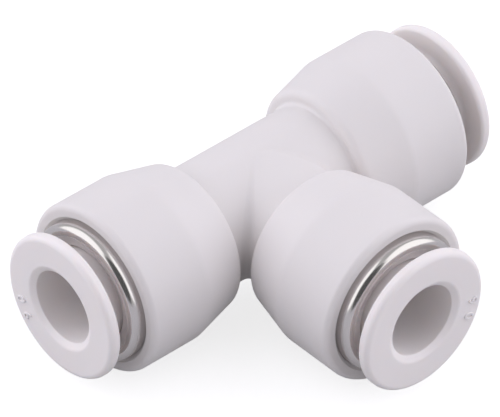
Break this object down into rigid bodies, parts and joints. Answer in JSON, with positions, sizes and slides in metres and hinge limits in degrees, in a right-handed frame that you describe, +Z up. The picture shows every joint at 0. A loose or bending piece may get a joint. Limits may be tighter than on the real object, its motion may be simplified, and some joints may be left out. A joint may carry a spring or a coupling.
{
  "type": "push-in tee fitting",
  "caption": "White push-in union tee for plastic tube: stout barrels on a thin neck, each mouth with a bright metal guide ring and a flanged release sleeve.",
  "frame": {"origin": "under the middle of the part's box, on the surface that its three barrels lie on", "axes": "+X along the run of the tee, towards the right port; -Y along the branch, towards its mouth; +Z up"},
  "size_m": [0.04, 0.027, 0.0144],
  "materials": {
    "body_plastic": "satin white moulded plastic",
    "sleeve_plastic": "smooth white moulded plastic",
    "nickel_plated_brass": "bright nickel plating, lightly satin",
    "spring_steel": "bright stainless spring strip",
    "seat_plastic": "plain moulded plastic",
    "seal_rubber": "black nitrile rubber"
  },
  "bodies": {
    "housing": {"body": "body_plastic", "guide_ring_left": "nickel_plated_brass", "guide_ring_right": "nickel_plated_brass", "guide_ring_branch": "nickel_plated_brass", "lock_claw_left": "spring_steel", "lock_claw_right": "spring_steel", "lock_claw_branch": "spring_steel", "claw_seat_left": "seat_plastic", "claw_seat_right": "seat_plastic", "claw_seat_branch": "seat_plastic", "seal_left": "seal_rubber", "seal_right": "seal_rubber", "seal_branch": "seal_rubber"},
    "sleeve_left": {"release_sleeve_left": "sleeve_plastic"},
    "sleeve_right": {"release_sleeve_right": "sleeve_plastic"},
    "sleeve_branch": {"release_sleeve_branch": "sleeve_plastic"}
  },
  "joints": [
    {"name": "release_left", "type": "slide", "parent": "housing", "child": "sleeve_left", "axis": [1, 0, 0], "range_m": [0, 0.0013], "stiffness_N_per_m": 4000, "deforming": ["lock_claw_left"]},
    {"name": "release_right", "type": "slide", "parent": "housing", "child": "sleeve_right", "axis": [-1, 0, 0], "range_m": [0, 0.0013], "stiffness_N_per_m": 4000, "deforming": ["lock_claw_right"]},
    {"name": "release_branch", "type": "slide", "parent": "housing", "child": "sleeve_branch", "axis": [0, 1, 0], "range_m": [0, 0.0013], "stiffness_N_per_m": 4000, "deforming": ["lock_claw_branch"]}
  ]
}
